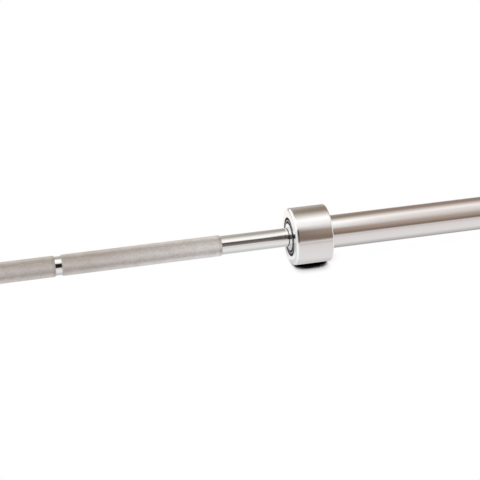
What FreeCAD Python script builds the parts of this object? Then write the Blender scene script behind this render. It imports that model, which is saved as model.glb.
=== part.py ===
import FreeCAD, Part
import os
import re
import Sketcher
from FreeCAD import Placement, Rotation, Vector

# An olympic barbell. The bar lies along X with its middle at the origin. Each sleeve spins on a sealed
# ball bearing in the mouth of its collar and on two needle bearings inside the tube.

SIZES = (
    # the whole bar
    ("between_collars", "1310", "inner face of one collar to the inner face of the other"),
    ("overall_length", "2200", "sleeve end to sleeve end"),
    # shaft
    ("shaft_diameter", "28", "plain lengths, ring marks and the seat of the ball bearing"),
    ("grip_rise", "1.6", "height of the knurl crests above the plain shaft"),
    ("grip_bevel", "1.2", "length of the cone at each end of a knurled zone"),
    ("centre_knurl_length", "120", "knurl across the middle of the bar"),
    ("centre_gap", "150", "plain length between the middle knurl and the grip"),
    ("ring_spacing", "617", "middle of one ring mark to the middle of the other"),
    ("ring_width", "9.5", "plain ring turned through the knurl"),
    ("plain_end_length", "105", "plain length between the grip and the collar"),
    ("shoulder_step", "1.5", "fall from the shaft to the journal inside the sleeve"),
    ("shoulder_overhang", "3", "how far the full diameter runs past the ball bearing"),
    ("shaft_end_bevel", "1.5", "bevel on the end of the journal"),
    ("lathe_centre_diameter", "6", "mouth of the centre hole in the shaft end"),
    ("lathe_centre_depth", "5.2", "depth of the centre hole"),
    # collar
    ("collar_diameter", "86", "outside of the collar"),
    ("collar_length", "57.5", "inner face to outer face"),
    ("collar_face_round", "5", "rounding of the outer edge round the bearing"),
    ("collar_back_round", "2.2", "rounding of the outer edge on the sleeve side"),
    ("bore_bevel", "0.3", "bevel at the mouth of the bearing seat"),
    # sleeve tube
    ("sleeve_diameter", "50", "the seat of the weight plates"),
    ("sleeve_end_bevel", "1.5", "lead in at the free end of the sleeve"),
    ("tube_standoff", "1", "space between the ball bearing and the tube"),
    ("spigot_step", "1.5", "fall from the sleeve to the spigot inside the collar"),
    ("relief_width", "1", "groove at the root of the sleeve"),
    ("relief_depth", "0.4", "depth of that groove"),
    # ball bearing
    ("bearing_width", "16", "width of both races"),
    ("inner_race_wall", "6.25", "shaft to the land of the inner race"),
    ("race_gap", "3.25", "land of the inner race to the land of the outer race"),
    ("outer_race_wall", "5.5", "land of the outer race to its outside"),
    ("race_bevel", "0.6", "bevel on the fitted corners of the races"),
    ("race_nose", "1.9", "front of the outer race that stands inside the circlip"),
    ("race_nose_wall", "1.8", "land of the outer race to the outside of that nose"),
    ("inner_race_lead", "0.8", "how far the inner race stands in front of the nose"),
    ("ball_diameter", "7.5", "steel balls"),
    ("ball_clearance", "0.06", "ball to raceway"),
    ("cage_gap", "0.5", "ball cage to the lands of the races"),
    ("cage_back", "5", "cage behind the ball centres"),
    ("cage_front", "2.2", "open side of the cage in front of the ball centres"),
    ("ball_pocket_gap", "0.2", "ball to its pocket in the cage"),
    ("seal_setback", "0.2", "face of the bearing to the seal"),
    ("seal_thickness", "1.2", "bead and lip of the seal"),
    ("seal_seat_depth", "0.9", "groove in the outer race that holds the bead"),
    ("seal_lip_gap", "0.12", "seal lip to the inner race"),
    ("seal_web_recess", "0.1", "hollow in the outside of the seal"),
    ("seal_rim", "0.9", "width of the lip and of the bead"),
    # internal circlip that holds the ball bearing
    ("circlip_land", "0.4", "collar face to the groove"),
    ("circlip_thickness", "1.5", "bearing circlip"),
    ("circlip_play", "0.12", "groove wider than the circlip"),
    ("circlip_groove_depth", "1.5", "groove below the bearing seat"),
    ("circlip_width", "4.7", "width of the circlip"),
    ("circlip_gap", "7", "opening between its ends"),
    # needle bearings
    ("roller_diameter", "2.4", "needle rollers"),
    ("roller_clearance", "0.05", "roller to journal and to cup"),
    ("cup_wall", "1", "drawn cup"),
    ("cup_length", "26", "drawn cup over its lips"),
    ("cup_lip_gap", "0.4", "lip of the cup to the journal"),
    ("needle_cage_gap", "0.45", "cage to journal and to cup"),
    ("needle_cage_play", "0.2", "end of the cage to the lip of the cup"),
    ("needle_cage_rim", "2", "closed ring at each end of the cage"),
    ("roller_pocket_gap", "0.15", "roller to its window"),
    ("housing_wall", "3", "cup to the bore of the tube"),
    ("housing_length", "30", "ring that carries the cup"),
    ("housing_bevel", "0.6", "bevel on the pressed in corners"),
    # thrust washers
    ("washer_thickness", "2", "thrust washer"),
    ("washer_bore_gap", "0.1", "washer to journal"),
    ("washer_tube_gap", "0.8", "washer to the bore of the tube"),
    ("end_play", "0.3", "washer to the ring beside it"),
    # circlip on the shaft end
    ("shaft_circlip_land", "3", "shaft left outside the groove"),
    ("shaft_circlip_thickness", "1.5", "shaft circlip"),
    ("shaft_circlip_play", "0.1", "groove wider than the circlip"),
    ("shaft_groove_depth", "0.6", "groove below the journal"),
    ("shaft_circlip_width", "3", "mean width of the circlip"),
    ("shaft_circlip_taper", "0.4", "offset of the outside circle"),
    ("shaft_lug_radius", "2", "eye at each end"),
    ("shaft_hole_radius", "0.9", "hole in each eye"),
    ("shaft_circlip_gap", "5", "opening between the eyes"),
    ("shaft_end_gap", "3", "shaft end to the end cap"),
    # end cap and its circlip
    ("end_cap_thickness", "5", "end cap"),
    ("end_cap_ledge", "1", "step in the tube behind the cap"),
    ("end_cap_bevel", "0.5", "bevel on the edges of the cap"),
    ("end_cap_rim", "4.5", "flat rim under the circlip"),
    ("end_cap_dish", "0.8", "hollow of the cap inside the rim"),
    ("cap_circlip_land", "1.5", "sleeve end to the groove"),
    ("cap_circlip_thickness", "1.5", "end cap circlip"),
    ("cap_circlip_play", "0.1", "groove wider than the circlip"),
    ("cap_groove_depth", "1", "groove below the bore of the cap"),
    ("cap_circlip_width", "3.4", "mean width of the circlip"),
    ("cap_circlip_taper", "0.4", "offset of the inside circle"),
    ("cap_lug_radius", "2.2", "eye at each end"),
    ("cap_hole_radius", "1", "hole in each eye"),
    ("cap_circlip_gap", "6", "opening between the eyes"),
    # all circlips
    ("circlip_seat_gap", "0.1", "circlip to the floor of its groove"),
    # cuts
    ("overrun", "1", "how far a cut runs past the material"),
)

COUNTS = (
    ("ball_count", "10", "balls in a ball bearing"),
    ("roller_count", "20", "rollers in a needle bearing"),
)

FITS = (
    ("collar_face", "between_collars / 2"),
    ("sleeve_reach", "overall_length / 2 - collar_face"),
    ("shaft_radius", "shaft_diameter / 2"),
    ("grip_radius", "shaft_radius + grip_rise"),
    ("journal_radius", "shaft_radius - shoulder_step"),
    ("grip_start", "centre_knurl_length / 2 + centre_gap"),
    ("ring_start", "(ring_spacing - ring_width) / 2"),
    ("ring_finish", "(ring_spacing + ring_width) / 2"),
    ("grip_finish", "collar_face - plain_end_length"),
    ("collar_radius", "collar_diameter / 2"),
    ("sleeve_radius", "sleeve_diameter / 2"),
    ("inner_race_radius", "shaft_radius + inner_race_wall"),
    ("outer_race_land", "inner_race_radius + race_gap"),
    ("bearing_radius", "outer_race_land + outer_race_wall"),
    ("race_nose_radius", "outer_race_land + race_nose_wall"),
    ("ball_circle", "inner_race_radius + race_gap / 2"),
    ("raceway_radius", "ball_diameter / 2 + ball_clearance"),
    ("bearing_setback", "circlip_land + circlip_thickness + circlip_play"),
    ("bearing_back", "bearing_setback + bearing_width"),
    ("ball_place", "bearing_setback + bearing_width / 2"),
    ("seal_seat", "outer_race_land + seal_seat_depth"),
    ("seal_lip", "inner_race_radius + seal_lip_gap"),
    ("rear_seal_place", "bearing_back - seal_setback - seal_thickness"),
    ("tube_start", "bearing_back + tube_standoff"),
    ("spigot_radius", "sleeve_radius - spigot_step"),
    ("spigot_length", "collar_length - tube_start"),
    ("shoulder_place", "bearing_back + shoulder_overhang"),
    ("roller_circle", "journal_radius + roller_clearance + roller_diameter / 2"),
    ("cup_inside", "journal_radius + 2 * roller_clearance + roller_diameter"),
    ("cup_radius", "cup_inside + cup_wall"),
    ("tube_bore", "cup_radius + housing_wall"),
    ("cap_radius", "tube_bore + end_cap_ledge"),
    ("cap_place", "sleeve_reach - cap_circlip_land - cap_circlip_play - cap_circlip_thickness - end_cap_thickness"),
    ("cap_circlip_place", "cap_place + end_cap_thickness"),
    ("shaft_reach", "cap_place - shaft_end_gap"),
    ("shaft_circlip_place", "shaft_reach - shaft_circlip_land - shaft_circlip_play - shaft_circlip_thickness"),
    ("inner_washer_place", "shoulder_place"),
    ("outer_washer_place", "shaft_circlip_place - washer_thickness"),
    ("inner_housing_place", "inner_washer_place + washer_thickness + end_play"),
    ("outer_housing_place", "outer_washer_place - end_play - housing_length"),
    ("cup_inset", "(housing_length - cup_length) / 2"),
    ("inner_cup_place", "inner_housing_place + cup_inset"),
    ("outer_cup_place", "outer_housing_place + cup_inset"),
    ("needle_cage_inset", "cup_wall + needle_cage_play"),
    ("needle_cage_length", "cup_length - 2 * needle_cage_inset"),
    ("window_length", "needle_cage_length - 2 * needle_cage_rim"),
    ("window_half_width", "roller_diameter / 2 + roller_pocket_gap"),
    ("roller_length", "window_length - 2 * roller_pocket_gap"),
    ("roller_inset", "needle_cage_inset + needle_cage_rim + roller_pocket_gap"),
)

FULL_TURN = 360
HALF_TURN = 180
ALONG_BAR = Vector(1, 0, 0)
UPWARD = Vector(0, 0, 1)

doc = FreeCAD.newDocument("Barbell")


def fill_sheet(name, rows):
    """A sheet with one row per value: its name, the number or formula and what it is."""
    sheet = doc.addObject("Spreadsheet::Sheet", name)
    for line, row in enumerate(rows, start=1):
        sheet.set(f"A{line}", row[0])
        sheet.set(f"B{line}", row[1])
        sheet.setAlias(f"B{line}", row[0])
        sheet.set(f"C{line}", row[2])
    doc.recompute()
    return sheet


PLACES = {row[0]: "Sizes." + row[0] for row in SIZES + COUNTS}


def bind(formula):
    """The formula with every name written as the sheet cell that holds it."""
    return re.sub("[a-z_]+", lambda word: PLACES.get(word.group(), word.group()), formula)


sizes = fill_sheet("Sizes", SIZES + COUNTS)
fits = doc.addObject("Spreadsheet::Sheet", "Fits")
for line, (name, formula) in enumerate(FITS, start=1):
    fits.set(f"A{line}", name)
    fits.set(f"B{line}", "=" + bind(formula).replace("Fits.", ""))
    fits.setAlias(f"B{line}", name)
    PLACES[name] = "Fits." + name
doc.recompute()


def value(formula):
    return float(sizes.evalExpression(bind(formula)))


def origin_feature(body, role):
    return next(feature for feature in body.Origin.OriginFeatures if feature.Role == role)


def new_sketch(body, name, plane="XY_Plane"):
    sketch = body.newObject("Sketcher::SketchObject", name)
    sketch.AttachmentSupport = (origin_feature(body, plane), [""])
    sketch.MapMode = "FlatFace"
    return sketch


def fix_point(sketch, geometry, corner, across, up):
    """Ties one point of the sketch to the sheets: its distance across and up from the origin."""
    for kind, axis, formula in (("DistanceX", -2, across), ("DistanceY", -1, up)):
        if formula == "0":
            sketch.addConstraint(Sketcher.Constraint("PointOnObject", geometry, corner, axis))
            continue
        size = value(formula)
        index = sketch.addConstraint(Sketcher.Constraint(kind, -1, 1, geometry, corner, size))
        sketch.setExpression(f"Constraints[{index}]", bind(formula))


def add_polygon(sketch, corners):
    """A closed outline through the corners, each given as two formulas."""
    points = [Vector(value(across), value(up), 0) for across, up in corners]
    first = sketch.GeometryCount
    count = len(points)
    for index in range(count):
        sketch.addGeometry(Part.LineSegment(points[index], points[(index + 1) % count]), False)
    for index in range(count):
        following = first + (index + 1) % count
        sketch.addConstraint(Sketcher.Constraint("Coincident", first + index, 2, following, 1))
    for index, (across, up) in enumerate(corners):
        fix_point(sketch, first + index, 1, across, up)


def add_circle(sketch, across, up, radius):
    middle = Vector(value(across), value(up), 0)
    circle = sketch.addGeometry(Part.Circle(middle, UPWARD, value(radius)), False)
    fix_point(sketch, circle, 3, across, up)
    index = sketch.addConstraint(Sketcher.Constraint("Radius", circle, value(radius)))
    sketch.setExpression(f"Constraints[{index}]", bind(radius))


def turn(body, kind, sketch, name):
    """Turns the sketch once round the bar's axis, as material or as a cut."""
    feature = body.newObject(kind, name)
    feature.Profile = sketch
    feature.ReferenceAxis = (sketch, ["H_Axis"])
    feature.Angle = FULL_TURN
    sketch.Visibility = False
    body.Tip = feature
    doc.recompute()
    return feature


def raise_or_cut(body, kind, sketch, name, depth, reverse=False):
    feature = body.newObject(kind, name)
    feature.Profile = sketch
    feature.setExpression("Length", bind(depth))
    feature.Reversed = reverse
    sketch.Visibility = False
    body.Tip = feature
    doc.recompute()
    return feature


def repeat_round(body, feature, count):
    """Copies the feature round the bar's axis, evenly, count times in all."""
    ring = body.newObject("PartDesign::PolarPattern", "Ring")
    ring.Originals = [feature]
    ring.Axis = (origin_feature(body, "X_Axis"), [""])
    ring.Angle = FULL_TURN
    ring.setExpression("Occurrences", bind(count))
    body.Tip = ring
    doc.recompute()
    return ring


nodes = []


def new_body(label):
    body = doc.addObject("PartDesign::Body", label)
    body.Label = label
    nodes.append(body)
    return body


def place(body, side, distance):
    """Puts a piece at its distance from the collar's inner face; the left end is the right end turned round."""
    if side == "left":
        body.Placement = Placement(Vector(0, 0, 0), Rotation(UPWARD, HALF_TURN))
        body.setExpression("Placement.Base.x", bind(f"0 - (collar_face + {distance})"))
    else:
        body.setExpression("Placement.Base.x", bind(f"collar_face + {distance}"))


def turned_piece(label, side, distance, corners):
    body = new_body(f"{side}_{label}")
    sketch = new_sketch(body, "Profile")
    add_polygon(sketch, corners)
    turn(body, "PartDesign::Revolution", sketch, "Turned")
    place(body, side, distance)
    return body


def cut_raceway(body):
    sketch = new_sketch(body, "Raceway")
    add_circle(sketch, "bearing_width / 2", "ball_circle", "raceway_radius")
    turn(body, "PartDesign::Groove", sketch, "RacewayCut")


def make_shaft():
    """Half the bar in profile, turned and mirrored about the middle."""
    body = new_body("shaft")
    sketch = new_sketch(body, "Profile")
    groove = "collar_face + shaft_circlip_place"
    groove_end = f"{groove} + shaft_circlip_thickness + shaft_circlip_play"
    end = "collar_face + shaft_reach"
    add_polygon(sketch, [
        ("0", "0"),
        ("0", "grip_radius"),
        ("centre_knurl_length / 2 - grip_bevel", "grip_radius"),
        ("centre_knurl_length / 2", "shaft_radius"),
        ("grip_start", "shaft_radius"),
        ("grip_start + grip_bevel", "grip_radius"),
        ("ring_start - grip_bevel", "grip_radius"),
        ("ring_start", "shaft_radius"),
        ("ring_finish", "shaft_radius"),
        ("ring_finish + grip_bevel", "grip_radius"),
        ("grip_finish - grip_bevel", "grip_radius"),
        ("grip_finish", "shaft_radius"),
        ("collar_face + shoulder_place", "shaft_radius"),
        ("collar_face + shoulder_place", "journal_radius"),
        (groove, "journal_radius"),
        (groove, "journal_radius - shaft_groove_depth"),
        (groove_end, "journal_radius - shaft_groove_depth"),
        (groove_end, "journal_radius"),
        (f"{end} - shaft_end_bevel", "journal_radius"),
        (end, "journal_radius - shaft_end_bevel"),
        (end, "lathe_centre_diameter / 2"),
        (f"{end} - lathe_centre_depth", "0"),
    ])
    half = turn(body, "PartDesign::Revolution", sketch, "HalfShaft")
    whole = body.newObject("PartDesign::Mirrored", "WholeShaft")
    whole.Originals = [half]
    whole.MirrorPlane = (origin_feature(body, "YZ_Plane"), [""])
    body.Tip = whole
    doc.recompute()


def round_rim(body, end, radius, label):
    """Round the collar's rim that lies at one end of it, the lowest or the highest along the bar."""
    rim = value("collar_radius")
    closeness = value("overrun") / FULL_TURN
    turned = body.Tip
    rims = {}
    for index, edge in enumerate(turned.Shape.Edges, start=1):
        curve = edge.Curve
        if isinstance(curve, Part.Circle) and abs(curve.Radius - rim) < closeness:
            rims[curve.Center.x] = f"Edge{index}"
    rounding = body.newObject("PartDesign::Fillet", label)
    rounding.Base = (turned, [rims[end(rims)]])
    rounding.setExpression("Radius", bind(radius))
    body.Tip = rounding
    doc.recompute()


def make_collar(side):
    """A thick ring bored for the ball bearing, with a groove for its circlip and a coned seat for the tube."""
    body = turned_piece("collar", side, "0", [
        ("0", "bearing_radius + bore_bevel"),
        ("bore_bevel", "bearing_radius"),
        ("circlip_land", "bearing_radius"),
        ("circlip_land", "bearing_radius + circlip_groove_depth"),
        ("bearing_setback", "bearing_radius + circlip_groove_depth"),
        ("bearing_setback", "bearing_radius"),
        ("bearing_back", "bearing_radius"),
        ("bearing_back", "spigot_radius"),
        ("collar_length - spigot_step", "spigot_radius"),
        ("collar_length", "sleeve_radius"),
        ("collar_length", "collar_radius"),
        ("0", "collar_radius"),
    ])
    round_rim(body, min, "collar_face_round", "FaceRound")
    round_rim(body, max, "collar_back_round", "BackRound")


def make_tube(side):
    """The loading sleeve: a tube with a spigot and a cone that seat in the collar, a relief groove beside
    the collar's outer face, and a stepped mouth for the end cap and its circlip."""
    ledge = "cap_place - tube_start"
    groove = "cap_circlip_place - tube_start"
    groove_end = f"{groove} + cap_circlip_thickness + cap_circlip_play"
    end = "sleeve_reach - tube_start"
    turned_piece("sleeve_tube", side, "tube_start", [
        ("0", "tube_bore"),
        (ledge, "tube_bore"),
        (ledge, "cap_radius"),
        (groove, "cap_radius"),
        (groove, "cap_radius + cap_groove_depth"),
        (groove_end, "cap_radius + cap_groove_depth"),
        (groove_end, "cap_radius"),
        (end, "cap_radius"),
        (end, "sleeve_radius - sleeve_end_bevel"),
        (f"{end} - sleeve_end_bevel", "sleeve_radius"),
        ("spigot_length + relief_width", "sleeve_radius"),
        ("spigot_length + relief_width", "sleeve_radius - relief_depth"),
        ("spigot_length - relief_depth", "sleeve_radius - relief_depth"),
        ("spigot_length - spigot_step", "spigot_radius"),
        ("0", "spigot_radius"),
    ])


def make_races(side):
    """Both races of the ball bearing, with one round raceway between them. A nose on the outer race fills
    the circlip, and the inner race stands a little in front of it."""
    seat = "seal_setback - race_nose"
    seat_end = f"{seat} + seal_thickness"
    outer = turned_piece("bearing_outer_race", side, "bearing_setback", [
        ("0 - race_nose", "outer_race_land"),
        (seat, "outer_race_land"),
        (seat, "seal_seat"),
        (seat_end, "seal_seat"),
        (seat_end, "outer_race_land"),
        ("bearing_width - seal_setback - seal_thickness", "outer_race_land"),
        ("bearing_width - seal_setback - seal_thickness", "seal_seat"),
        ("bearing_width - seal_setback", "seal_seat"),
        ("bearing_width - seal_setback", "outer_race_land"),
        ("bearing_width", "outer_race_land"),
        ("bearing_width", "bearing_radius - race_bevel"),
        ("bearing_width - race_bevel", "bearing_radius"),
        ("race_bevel", "bearing_radius"),
        ("0", "bearing_radius - race_bevel"),
        ("0", "race_nose_radius"),
        ("0 - race_nose", "race_nose_radius"),
    ])
    cut_raceway(outer)
    front = "0 - race_nose - inner_race_lead"
    inner = turned_piece("bearing_inner_race", side, "bearing_setback", [
        (front, "shaft_radius + race_bevel"),
        (f"{front} + race_bevel", "shaft_radius"),
        ("bearing_width - race_bevel", "shaft_radius"),
        ("bearing_width", "shaft_radius + race_bevel"),
        ("bearing_width", "inner_race_radius"),
        (front, "inner_race_radius"),
    ])
    cut_raceway(inner)


def make_seals(side):
    """A rubber ring in each face of the bearing: bead, thin web, lip. The hollow is on the outside."""
    lip_edge = "seal_lip + seal_rim"
    bead_edge = "seal_seat - seal_rim"
    turned_piece("bearing_front_seal", side, "bearing_setback + seal_setback - race_nose", [
        ("0", "seal_lip"),
        ("0", lip_edge),
        ("seal_web_recess", lip_edge),
        ("seal_web_recess", bead_edge),
        ("0", bead_edge),
        ("0", "seal_seat"),
        ("seal_thickness", "seal_seat"),
        ("seal_thickness", "seal_lip"),
    ])
    turned_piece("bearing_rear_seal", side, "rear_seal_place", [
        ("seal_thickness", "seal_lip"),
        ("seal_thickness", lip_edge),
        ("seal_thickness - seal_web_recess", lip_edge),
        ("seal_thickness - seal_web_recess", bead_edge),
        ("seal_thickness", bead_edge),
        ("seal_thickness", "seal_seat"),
        ("0", "seal_seat"),
        ("0", "seal_lip"),
    ])


def add_ball(body, kind, radius):
    ball = body.newObject(kind, "Ball")
    ball.AttachmentSupport = (origin_feature(body, "XY_Plane"), [""])
    ball.MapMode = "FlatFace"
    ball.setExpression("AttachmentOffset.Base.y", bind("ball_circle"))
    ball.setExpression("Radius", bind(radius))
    body.Tip = ball
    doc.recompute()
    return ball


def make_balls(side):
    """The balls, and the crown cage that spaces them, open towards the shaft's middle."""
    balls = new_body(f"{side}_bearing_balls")
    ball = add_ball(balls, "PartDesign::AdditiveSphere", "ball_diameter / 2")
    repeat_round(balls, ball, "ball_count")
    place(balls, side, "ball_place")
    cage = turned_piece("bearing_cage", side, "ball_place", [
        ("0 - cage_front", "inner_race_radius + cage_gap"),
        ("cage_back", "inner_race_radius + cage_gap"),
        ("cage_back", "outer_race_land - cage_gap"),
        ("0 - cage_front", "outer_race_land - cage_gap"),
    ])
    pocket = add_ball(cage, "PartDesign::SubtractiveSphere", "ball_diameter / 2 + ball_pocket_gap")
    repeat_round(cage, pocket, "ball_count")


def cut_opening(body, reach, gap, thickness):
    """The gap in a spring ring, square to its face."""
    opening = new_sketch(body, "Opening", "YZ_Plane")
    add_polygon(opening, [
        ("0", f"0 - {gap} / 2"),
        (reach, f"0 - {gap} / 2"),
        (reach, f"{gap} / 2"),
        ("0", f"{gap} / 2"),
    ])
    raise_or_cut(body, "PartDesign::Pocket", opening, "OpeningCut", f"{thickness} + overrun", True)


def make_plain_circlip(label, side, distance, outer, inner, gap, thickness):
    """A flat spring ring of one width, with plain ends."""
    body = new_body(f"{side}_{label}")
    ring = new_sketch(body, "RingOutline", "YZ_Plane")
    add_circle(ring, "0", "0", outer)
    add_circle(ring, "0", "0", inner)
    raise_or_cut(body, "PartDesign::Pad", ring, "RingPad", thickness)
    cut_opening(body, f"{outer} + overrun", gap, thickness)
    place(body, side, distance)


def make_circlip(label, side, distance, outer, inner, offsets, eye, hole, gap, eye_circle, thickness):
    """A flat spring ring, narrower towards its opening, with an eye and a plier hole at each end."""
    body = new_body(f"{side}_{label}")
    ring = new_sketch(body, "RingOutline", "YZ_Plane")
    add_circle(ring, offsets[0], "0", outer)
    add_circle(ring, offsets[1], "0", inner)
    raise_or_cut(body, "PartDesign::Pad", ring, "RingPad", thickness)
    eye_up = f"{gap} / 2 + {eye}"
    eye_down = f"0 - {gap} / 2 - {eye}"
    eye_out = f"sqrt(({eye_circle}) ^ 2 - ({eye_up}) ^ 2)"
    eyes = new_sketch(body, "EyeOutline", "YZ_Plane")
    add_circle(eyes, eye_out, eye_up, eye)
    add_circle(eyes, eye_out, eye_down, eye)
    raise_or_cut(body, "PartDesign::Pad", eyes, "EyePad", thickness)
    cut_opening(body, f"{outer} + {eye} + overrun", gap, thickness)
    holes = new_sketch(body, "Holes", "YZ_Plane")
    add_circle(holes, eye_out, eye_up, hole)
    add_circle(holes, eye_out, eye_down, hole)
    raise_or_cut(body, "PartDesign::Pocket", holes, "HoleCut", f"{thickness} + overrun", True)
    place(body, side, distance)


def make_circlips(side):
    """The ring that holds the bearing, the one on the shaft end and the one outside the end cap."""
    make_plain_circlip(
        "bearing_circlip", side, "bearing_setback - circlip_thickness",
        "bearing_radius + circlip_groove_depth - circlip_seat_gap",
        "bearing_radius + circlip_groove_depth - circlip_seat_gap - circlip_width",
        "circlip_gap", "circlip_thickness",
    )
    make_circlip(
        "end_cap_circlip", side, "cap_circlip_place",
        "cap_radius + cap_groove_depth - circlip_seat_gap",
        "cap_radius + cap_groove_depth - circlip_seat_gap - cap_circlip_width",
        ("0", "cap_circlip_taper"), "cap_lug_radius", "cap_hole_radius", "cap_circlip_gap",
        "cap_radius - cap_lug_radius - cap_circlip_taper", "cap_circlip_thickness",
    )
    make_circlip(
        "shaft_circlip", side, "shaft_circlip_place",
        "journal_radius - shaft_groove_depth + circlip_seat_gap + shaft_circlip_width",
        "journal_radius - shaft_groove_depth + circlip_seat_gap",
        ("0 - shaft_circlip_taper", "0"), "shaft_lug_radius", "shaft_hole_radius", "shaft_circlip_gap",
        "journal_radius + shaft_lug_radius + shaft_circlip_taper", "shaft_circlip_thickness",
    )


def make_needle_bearing(name, side):
    """A carrier ring pressed into the tube, a drawn cup in it, and the caged rollers on the journal."""
    turned_piece(f"{name}_needle_housing", side, f"{name}_housing_place", [
        ("0", "cup_radius"),
        ("housing_length", "cup_radius"),
        ("housing_length", "tube_bore - housing_bevel"),
        ("housing_length - housing_bevel", "tube_bore"),
        ("housing_bevel", "tube_bore"),
        ("0", "tube_bore - housing_bevel"),
    ])
    turned_piece(f"{name}_needle_cup", side, f"{name}_cup_place", [
        ("0", "journal_radius + cup_lip_gap"),
        ("0", "cup_radius"),
        ("cup_length", "cup_radius"),
        ("cup_length", "journal_radius + cup_lip_gap"),
        ("cup_length - cup_wall", "journal_radius + cup_lip_gap"),
        ("cup_length - cup_wall", "cup_inside"),
        ("cup_wall", "cup_inside"),
        ("cup_wall", "journal_radius + cup_lip_gap"),
    ])
    cage = turned_piece(f"{name}_needle_cage", side, f"{name}_cup_place + needle_cage_inset", [
        ("0", "journal_radius + needle_cage_gap"),
        ("needle_cage_length", "journal_radius + needle_cage_gap"),
        ("needle_cage_length", "cup_inside - needle_cage_gap"),
        ("0", "cup_inside - needle_cage_gap"),
    ])
    window = new_sketch(cage, "Window")
    window_end = "needle_cage_length - needle_cage_rim"
    add_polygon(window, [
        ("needle_cage_rim", "0 - window_half_width"),
        (window_end, "0 - window_half_width"),
        (window_end, "window_half_width"),
        ("needle_cage_rim", "window_half_width"),
    ])
    cut = raise_or_cut(cage, "PartDesign::Pocket", window, "WindowCut", "cup_radius + overrun", True)
    repeat_round(cage, cut, "roller_count")
    rollers = new_body(f"{side}_{name}_needle_rollers")
    end = new_sketch(rollers, "RollerEnd", "YZ_Plane")
    add_circle(end, "0", "roller_circle", "roller_diameter / 2")
    roller = raise_or_cut(rollers, "PartDesign::Pad", end, "Roller", "roller_length")
    repeat_round(rollers, roller, "roller_count")
    place(rollers, side, f"{name}_cup_place + roller_inset")


def make_washer(name, side):
    turned_piece(f"{name}_thrust_washer", side, f"{name}_washer_place", [
        ("0", "journal_radius + washer_bore_gap"),
        ("washer_thickness", "journal_radius + washer_bore_gap"),
        ("washer_thickness", "tube_bore - washer_tube_gap"),
        ("0", "tube_bore - washer_tube_gap"),
    ])


def make_end_cap(side):
    """A disc seated on the step in the tube, with a flat rim for the circlip round a shallow dish."""
    turned_piece("end_cap", side, "cap_place", [
        ("0", "0"),
        ("0", "cap_radius - end_cap_bevel"),
        ("end_cap_bevel", "cap_radius"),
        ("end_cap_thickness - end_cap_bevel", "cap_radius"),
        ("end_cap_thickness", "cap_radius - end_cap_bevel"),
        ("end_cap_thickness", "cap_radius - end_cap_rim"),
        ("end_cap_thickness - end_cap_dish", "cap_radius - end_cap_rim - end_cap_dish"),
        ("end_cap_thickness - end_cap_dish", "0"),
    ])


make_shaft()
for side in ("right", "left"):
    make_collar(side)
    make_tube(side)
    make_races(side)
    make_seals(side)
    make_balls(side)
    make_circlips(side)
    make_washer("inner", side)
    make_washer("outer", side)
    make_needle_bearing("inner", side)
    make_needle_bearing("outer", side)
    make_end_cap(side)
doc.recompute()

for item in doc.Objects:
    if "Invalid" in item.State or "Error" in item.State:
        raise RuntimeError(f"{item.Label} was not built: {item.State}")
os.makedirs("parts", exist_ok=True)
for body in nodes:
    shape = body.Shape
    if shape.isNull() or not shape.isValid():
        raise RuntimeError(f"{body.Label} has no valid shape")
    shape.exportStep(f"parts/{body.Label}.step")
    print(body.Label, len(shape.Solids), round(shape.Volume))
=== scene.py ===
# %% [markdown]
# # An olympic barbell
# The bar is one long steel shaft with a loading sleeve that spins on each end. Its solids come from CAD
# and stay where they are. This lesson gives each surface that shows the shape and the finish that the
# lathe, the knurling wheels and the polishing belt leave on the real one.

import bpy
import numpy as np
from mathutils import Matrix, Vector


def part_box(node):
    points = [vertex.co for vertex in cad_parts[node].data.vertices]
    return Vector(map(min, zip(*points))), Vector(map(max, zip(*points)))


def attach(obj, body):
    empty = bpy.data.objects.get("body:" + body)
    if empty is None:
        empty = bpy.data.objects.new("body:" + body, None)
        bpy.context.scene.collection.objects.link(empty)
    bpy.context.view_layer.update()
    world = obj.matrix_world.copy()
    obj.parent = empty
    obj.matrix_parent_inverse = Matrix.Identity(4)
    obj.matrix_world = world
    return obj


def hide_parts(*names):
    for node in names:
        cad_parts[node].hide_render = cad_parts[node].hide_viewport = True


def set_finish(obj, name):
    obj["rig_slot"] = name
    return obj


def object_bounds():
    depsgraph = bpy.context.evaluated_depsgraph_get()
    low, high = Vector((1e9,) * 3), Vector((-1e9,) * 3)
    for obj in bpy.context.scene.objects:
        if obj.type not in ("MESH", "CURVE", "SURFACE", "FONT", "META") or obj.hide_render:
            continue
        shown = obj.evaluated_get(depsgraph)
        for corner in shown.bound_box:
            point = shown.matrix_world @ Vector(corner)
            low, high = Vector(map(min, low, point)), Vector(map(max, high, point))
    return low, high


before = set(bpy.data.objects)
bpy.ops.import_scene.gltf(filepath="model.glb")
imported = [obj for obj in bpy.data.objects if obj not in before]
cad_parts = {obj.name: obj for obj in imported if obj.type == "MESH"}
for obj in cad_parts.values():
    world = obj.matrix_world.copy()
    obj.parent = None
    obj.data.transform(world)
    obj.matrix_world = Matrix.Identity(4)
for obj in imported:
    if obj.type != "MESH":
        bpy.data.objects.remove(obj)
cad_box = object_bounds()

# %% [markdown]
# ## Sizes
# The bar lies along X with its middle at the origin. Boxes of the solids give the places that matter, so
# the new surfaces follow the CAD when it changes. Sizes are in millimetres until a mesh is made.

# %% Read the main sizes
MM = 0.001


def span(node):
    """Lowest and highest corner of a solid, in millimetres."""
    return [np.array(corner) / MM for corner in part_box(node)]


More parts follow.
